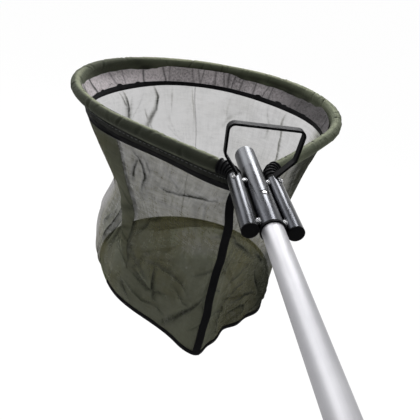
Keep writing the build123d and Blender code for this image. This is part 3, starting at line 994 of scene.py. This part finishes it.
def make_binding(name, start, end, high, thick, swell=0.0):
    """Bound edge of the base between two shares of the outline."""
    share = np.linspace(start, end, 320)[:, None]
    part = np.linspace(0, 1, 7)[None, :]
    run = (share - start) / (end - start)
    tall = high + swell * np.sin(run * math.pi) ** 2
    height = 0.45 * tall - part * tall
    bend = 1.2 * np.sin(part * math.pi)
    grid = base_edge(share, bend - 0.4) + np.stack(np.broadcast_arrays(0.0, 0.0, height), axis=-1)
    uv = np.stack(np.broadcast_arrays(height * MM, share * WALL_ROUND * MM), axis=-1)
    # painted shade along the folds of the binding
    painted_shade = np.broadcast_to(0.5 * np.cos(part * math.pi * 2) ** 4, height.shape)
    return thicken(sheet_mesh(name, grid, uv=uv, fields={"painted_shade": painted_shade}), thick)


def make_clip():
    """The CAD clip's own shape as a piece."""
    return linked("clip", nodes["snap_clip"].data.copy())


# ---- dressing

plating = dark_chrome()
black = plastic()
rubber = boot_rubber()
pole_metal = aluminium()
cad_looks = {
    "pole_tube": pole_metal, "pole_tip_plug": black, "grip": foam(), "butt_cap": black,
    "socket_tube": dark_chrome(MOUTH_Y + 0.022), "socket_bush": black,
    "side_tube_left": plating, "side_tube_right": plating,
    "tube_plug_left": black, "tube_plug_right": black,
    "weld_beads": weld(), "lift_bar": enamel(),
    "rod_boot_left": rubber, "rod_boot_right": rubber, "hoop_rod": pole_metal,
}
for name, look in cad_looks.items():
    nodes[name].data.materials.clear()
    nodes[name].data.materials.append(look)

tape_look = black_tape()
outer_tape_look = black_tape("band_outer_tape", (0.009, 0.010, 0.008), (0.030, 0.031, 0.027))
seam_look = sleeve_fabric("seam_fabric", (0.095, 0.108, 0.058), (0.165, 0.185, 0.105))
dark_thread = thread("dark_thread", (0.035, 0.040, 0.028))
grey_thread = thread("grey_thread", (0.21, 0.22, 0.225))
mesh_look = net("net_mesh", 0.47, 0.99, (0.170, 0.155, 0.165), (0.108, 0.102, 0.050))
base_look = net("base_mesh", 0.80, 0.99, (0.150, 0.146, 0.122), (0.105, 0.125, 0.062))
rear_seam_look = net("seam_mesh", 0.35, 0.9, (0.135, 0.128, 0.130), (0.1, 0.1, 0.09))

sleeve = finish_piece(make_sleeve(), sleeve_fabric(), "head", ["rim_sleeve"])
sleeve_stitches = finish_piece(make_sleeve_stitches(), dark_thread, "head")
band_inner = finish_piece(
    ring_strip("band_inner", BAND_TOP, TAPE_TOP - 4, (-7, -2.5, -2.0), 12,
               ripple=0.6, tucks=44, shade=0.80, dip=12),
    band_mesh(), "head", ["mesh_band"])
band_outer = finish_piece(
    ring_strip("band_outer", FIN_BOTTOM + 1, TAPE_TOP - 2, (1.6, 1.2), 10, ripple=0.5, tucks=40),
    outer_tape_look, "head", ["mesh_band"])
band_stitches = finish_piece(make_band_stitches(), grey_thread, "head")
rim_tape = finish_piece(
    thicken(ring_strip("rim_binding", TAPE_TOP, TAPE_BOTTOM, (0, 0), 6, ripple=0.5), 2.4),
    tape_look, "head", ["rim_tape"])
net_left = finish_piece(make_wall("net_left", 0.5, 1.0), mesh_look, "head", ["bag_wall_left"])
net_right = finish_piece(make_wall("net_right", 0.0, 0.5), mesh_look, "head", ["bag_wall_right"])
rear_seam = finish_piece(make_rear_seam(), rear_seam_look, "head")
base_net = finish_piece(make_base(), base_look, "head", ["bag_base"])
front_tape = finish_piece(make_front_tape(), tape_look, "head", ["front_seam_tape"])
binding_front = finish_piece(
    make_binding("binding_front", -0.20, 0.20, 8, 3), tape_look, "head", ["base_binding_front"])
binding_rear = finish_piece(
    make_binding("binding_rear", 0.20, 0.80, 7, 2, swell=9), seam_look, "head",
    ["base_binding_rear"])

clip = finish_piece(make_clip(), steel(), "pole", ["snap_clip"])
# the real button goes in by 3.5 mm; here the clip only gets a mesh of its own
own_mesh(clip)


# ---- studio

FLOOR_DROP = 0.95
FLOOR_HALF = 30
LAMP_AIM = (0, 0.9, 0)


def math_node(tree, operation, a, b):
    node = tree.nodes.new("ShaderNodeMath")
    node.operation = operation
    feed(tree, node.inputs[0], a)
    feed(tree, node.inputs[1], b)
    return node.outputs[0]


def seen_directly(tree):
    """1 for what the camera sees, also in metal and through glass, and 0 for the light on the part."""
    path = tree.nodes.new("ShaderNodeLightPath").outputs
    seen = math_node(tree, "MAXIMUM", path["Is Camera Ray"], path["Is Glossy Ray"])
    return math_node(tree, "MAXIMUM", seen, path["Is Transmission Ray"])


def studio_white(name, shadow_share):
    """White that the camera, metal and glass see as it is, with a share left for shadows."""
    material = bpy.data.materials.new(name)
    material.use_nodes = True
    tree = material.node_tree
    tree.nodes.clear()
    out = tree.nodes.new("ShaderNodeOutputMaterial")
    glow = tree.nodes.new("ShaderNodeEmission")
    glow.inputs["Strength"].default_value = 1.04
    matt = tree.nodes.new("ShaderNodeBsdfDiffuse")
    matt.inputs["Color"].default_value = (0.9, 0.9, 0.9, 1)
    mix = tree.nodes.new("ShaderNodeMixShader")
    glow_share = math_node(tree, "MULTIPLY", seen_directly(tree), 1 - shadow_share)
    for source, target in ((glow_share, mix.inputs[0]), (matt.outputs[0], mix.inputs[1]),
                           (glow.outputs[0], mix.inputs[2]), (mix.outputs[0], out.inputs["Surface"])):
        tree.links.new(source, target)
    return material


def make_floor():
    mesh = bpy.data.meshes.new("floor")
    corners = [(-1, -1), (1, -1), (1, 1), (-1, 1)]
    mesh.from_pydata([(x * FLOOR_HALF, y * FLOOR_HALF, -FLOOR_DROP) for x, y in corners], [], [(0, 1, 2, 3)])
    mesh.materials.append(studio_white("studio_floor", 0.06))
    obj = linked("floor", mesh)


def make_world():
    """A white surround that lights the part with a fifth of the strength that the camera sees."""
    world = bpy.data.worlds.new("studio")
    world.use_nodes = True
    tree = world.node_tree
    back = tree.nodes["Background"]
    back.inputs["Color"].default_value = (1, 1, 1, 1)
    strength = tree.nodes.new("ShaderNodeMapRange")
    strength.inputs["To Min"].default_value = 0.2
    strength.inputs["To Max"].default_value = 1.0
    tree.links.new(seen_directly(tree), strength.inputs["Value"])
    tree.links.new(strength.outputs["Result"], back.inputs["Strength"])
    bpy.context.scene.world = world


def make_lamp(name, place, wide, tall, power):
    """A rectangular lamp, its size in metres, aimed at the head."""
    light = bpy.data.lights.new(name, "AREA")
    light.shape = "RECTANGLE"
    light.size, light.size_y, light.energy = wide, tall, power
    obj = linked(name, light)
    obj.location = place
    obj.rotation_mode = "QUATERNION"
    obj.rotation_quaternion = (Vector(LAMP_AIM) - Vector(place)).to_track_quat("-Z", "Y")


def make_camera():
    """A 36 mm lens on a 36 mm sensor, above and behind the head on its left."""
    camera = bpy.data.cameras.new("camera")
    camera.lens, camera.sensor_width = 36, 36
    camera.clip_start, camera.clip_end = 0.01, 100
    obj = linked("camera", camera)
    right = Vector((0.98149, -0.10227, 0.16193))
    up = Vector((-0.07665, 0.56511, 0.82145))
    back = right.cross(up)
    turn = Matrix((right, up, back)).transposed()
    obj.matrix_world = Matrix.Translation((-0.1480, 0.41166, 0.25561)) @ turn.to_4x4()
    bpy.context.scene.camera = obj


make_floor()
make_world()
make_camera()
make_lamp("key", (-1.3, 1.8, 2.1), 1.8, 1.8, 43)
make_lamp("fill", (1.6, -0.3, 1.9), 1.4, 1.4, 18)
make_lamp("left_panel", (-0.72, 2.45, 0.62), 1.2, 0.6, 9)
make_lamp("right_strip", (0.40, 2.45, 0.95), 0.50, 0.9, 26)

bpy.context.scene.view_settings.view_transform = "Standard"
